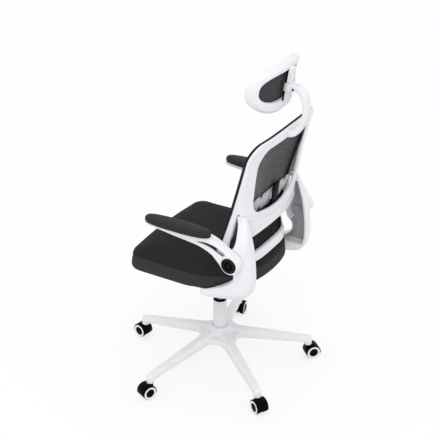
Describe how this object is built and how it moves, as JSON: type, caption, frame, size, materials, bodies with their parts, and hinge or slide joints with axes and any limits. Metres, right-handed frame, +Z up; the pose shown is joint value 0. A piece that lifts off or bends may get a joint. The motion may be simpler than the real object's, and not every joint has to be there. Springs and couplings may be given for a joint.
{
  "type": "office chair",
  "caption": "Swivel office chair on castors with a gas lift, tilting padded seat, mesh back, lumbar pad, flip-up arms and a tilting headrest.",
  "frame": {"origin": "on the floor under the column's axis", "axes": "+Z up; the sitter faces -Y; +X is the sitter's left"},
  "size_m": [0.7135, 0.7013, 1.2241],
  "materials": {
    "white_nylon": "semi-gloss white nylon",
    "black_nylon": "semi-gloss black nylon",
    "grey_plastic": "light grey plastic",
    "painted_steel": "white powder coat",
    "steel": "plain steel",
    "plywood": "pressed plywood",
    "dark_fabric": "dark grey woven mesh fabric"
  },
  "bodies": {
    "base": {"star_base": "white_nylon", "column_tube": "painted_steel", "column_bush": "black_nylon", "gas_rod": "steel", "column_clip": "steel"},
    "lift": {"gas_cylinder": "steel"},
    "mechanism": {"mech_housing": "steel", "tension_spring": "steel"},
    "knob": {"tension_knob": "black_nylon"},
    "lever": {"height_lever": "black_nylon"},
    "seat": {"tilt_plate": "steel", "tilt_pin": "steel", "seat_pan": "plywood", "seat_cushion": "dark_fabric", "bracket_left": "white_nylon", "bracket_right": "white_nylon", "arm_pivot_left": "steel", "arm_pivot_right": "steel", "back_frame": "white_nylon", "back_mesh": "dark_fabric", "lumbar_rail": "white_nylon", "neck_bracket": "white_nylon"},
    "arm_left": {"arm_left": "white_nylon", "arm_pad_left": "dark_fabric", "arm_cap_left": "black_nylon"},
    "arm_right": {"arm_right": "white_nylon", "arm_pad_right": "dark_fabric", "arm_cap_right": "black_nylon"},
    "lumbar": {"lumbar_carriage": "white_nylon", "lumbar_pad": "grey_plastic"},
    "headrest_hinge": {"headrest_block": "white_nylon", "neck_pin": "steel"},
    "headrest": {"headrest_frame": "white_nylon", "headrest_pad": "dark_fabric"},
    "caster_1": {"caster_1_stem": "steel", "caster_1_hood": "black_nylon", "caster_1_axle": "steel"},
    "caster_1_wheel_a": {"caster_1_wheel_a": "black_nylon"},
    "caster_1_wheel_b": {"caster_1_wheel_b": "black_nylon"},
    "caster_2": {"caster_2_stem": "steel", "caster_2_hood": "black_nylon", "caster_2_axle": "steel"},
    "caster_2_wheel_a": {"caster_2_wheel_a": "black_nylon"},
    "caster_2_wheel_b": {"caster_2_wheel_b": "black_nylon"},
    "caster_3": {"caster_3_stem": "steel", "caster_3_hood": "black_nylon", "caster_3_axle": "steel"},
    "caster_3_wheel_a": {"caster_3_wheel_a": "black_nylon"},
    "caster_3_wheel_b": {"caster_3_wheel_b": "black_nylon"},
    "caster_4": {"caster_4_stem": "steel", "caster_4_hood": "black_nylon", "caster_4_axle": "steel"},
    "caster_4_wheel_a": {"caster_4_wheel_a": "black_nylon"},
    "caster_4_wheel_b": {"caster_4_wheel_b": "black_nylon"},
    "caster_5": {"caster_5_stem": "steel", "caster_5_hood": "black_nylon", "caster_5_axle": "steel"},
    "caster_5_wheel_a": {"caster_5_wheel_a": "black_nylon"},
    "caster_5_wheel_b": {"caster_5_wheel_b": "black_nylon"}
  },
  "joints": [
    {"name": "caster_1_swivel", "type": "hinge", "parent": "base", "child": "caster_1", "pos_m": [0, -0.325, 0], "axis": [0, 0, 1], "continuous": true},
    {"name": "caster_1_wheel_a_spin", "type": "hinge", "parent": "caster_1", "child": "caster_1_wheel_a", "pos_m": [-0.00292, -0.34043, 0.0255], "axis": [-0.9826, 0.1857, 0], "continuous": true},
    {"name": "caster_1_wheel_b_spin", "type": "hinge", "parent": "caster_1", "child": "caster_1_wheel_b", "pos_m": [-0.00292, -0.34043, 0.0255], "axis": [-0.9826, 0.1857, 0], "continuous": true},
    {"name": "caster_2_swivel", "type": "hinge", "parent": "base", "child": "caster_2", "pos_m": [0.30909, -0.10043, 0], "axis": [0, 0, 1], "continuous": true},
    {"name": "caster_2_wheel_a_spin", "type": "hinge", "parent": "caster_2", "child": "caster_2_wheel_a", "pos_m": [0.32341, -0.10687, 0.0255], "axis": [-0.4099, -0.9121, 0], "continuous": true},
    {"name": "caster_2_wheel_b_spin", "type": "hinge", "parent": "caster_2", "child": "caster_2_wheel_b", "pos_m": [0.32341, -0.10687, 0.0255], "axis": [-0.4099, -0.9121, 0], "continuous": true},
    {"name": "caster_3_swivel", "type": "hinge", "parent": "base", "child": "caster_3", "pos_m": [0.19103, 0.26293, 0], "axis": [0, 0, 1], "continuous": true},
    {"name": "caster_3_wheel_a_spin", "type": "hinge", "parent": "caster_3", "child": "caster_3_wheel_a", "pos_m": [0.19881, 0.27657, 0.0255], "axis": [0.8686, -0.4955, 0], "continuous": true},
    {"name": "caster_3_wheel_b_spin", "type": "hinge", "parent": "caster_3", "child": "caster_3_wheel_b", "pos_m": [0.19881, 0.27657, 0.0255], "axis": [0.8686, -0.4955, 0], "continuous": true},
    {"name": "caster_4_swivel", "type": "hinge", "parent": "base", "child": "caster_4", "pos_m": [-0.19103, 0.26293, 0], "axis": [0, 0, 1], "continuous": true},
    {"name": "caster_4_wheel_a_spin", "type": "hinge", "parent": "caster_4", "child": "caster_4_wheel_a", "pos_m": [-0.2027, 0.27344, 0.0255], "axis": [0.6691, 0.7431, 0], "continuous": true},
    {"name": "caster_4_wheel_b_spin", "type": "hinge", "parent": "caster_4", "child": "caster_4_wheel_b", "pos_m": [-0.2027, 0.27344, 0.0255], "axis": [0.6691, 0.7431, 0], "continuous": true},
    {"name": "caster_5_swivel", "type": "hinge", "parent": "base", "child": "caster_5", "pos_m": [-0.30909, -0.10043, 0], "axis": [0, 0, 1], "continuous": true},
    {"name": "caster_5_wheel_a_spin", "type": "hinge", "parent": "caster_5", "child": "caster_5_wheel_a", "pos_m": [-0.32443, -0.10378, 0.0255], "axis": [-0.213, 0.977, 0], "continuous": true},
    {"name": "caster_5_wheel_b_spin", "type": "hinge", "parent": "caster_5", "child": "caster_5_wheel_b", "pos_m": [-0.32443, -0.10378, 0.0255], "axis": [-0.213, 0.977, 0], "continuous": true},
    {"name": "lift_slide", "type": "slide", "parent": "base", "child": "lift", "axis": [0, 0, 1], "range_m": [-0.1, 0]},
    {"name": "seat_swivel", "type": "hinge", "parent": "lift", "child": "mechanism", "pos_m": [0, 0, 0.375], "axis": [0, 0, 1], "continuous": true},
    {"name": "tilt", "type": "hinge", "parent": "mechanism", "child": "seat", "pos_m": [0, -0.05, 0.425], "axis": [-1, 0, 0], "range_deg": [0, 15], "stiffness_Nm_per_rad": 160, "springref_deg": -14.32},
    {"name": "tension_turn", "type": "hinge", "parent": "mechanism", "child": "knob", "pos_m": [0, -0.05, 0.375], "axis": [0, 0, 1], "range_deg": [-720, 720]},
    {"name": "lever_lift", "type": "hinge", "parent": "mechanism", "child": "lever", "pos_m": [-0.0535, -0.018, 0.406], "axis": [0, 1, 0], "range_deg": [0, 8], "stiffness_Nm_per_rad": 1, "springref_deg": -5.73},
    {"name": "lumbar_slide", "type": "slide", "parent": "seat", "child": "lumbar", "axis": [0, 0.1309, 0.9914], "range_m": [-0.015, 0.015]},
    {"name": "headrest_tilt", "type": "hinge", "parent": "seat", "child": "headrest_hinge", "pos_m": [0, 0.27755, 1.13759], "axis": [1, 0, 0], "range_deg": [-20, 20]},
    {"name": "headrest_slide", "type": "slide", "parent": "headrest_hinge", "child": "headrest", "axis": [0, 0.1582, 0.9874], "range_m": [-0.012, 0.015]},
    {"name": "arm_left_flip", "type": "hinge", "parent": "seat", "child": "arm_left", "pos_m": [0.2361, 0.1927, 0.5945], "axis": [-1, 0, 0], "range_deg": [0, 90]},
    {"name": "arm_right_flip", "type": "hinge", "parent": "seat", "child": "arm_right", "pos_m": [-0.2361, 0.1927, 0.5945], "axis": [-1, 0, 0], "range_deg": [0, 90]}
  ]
}
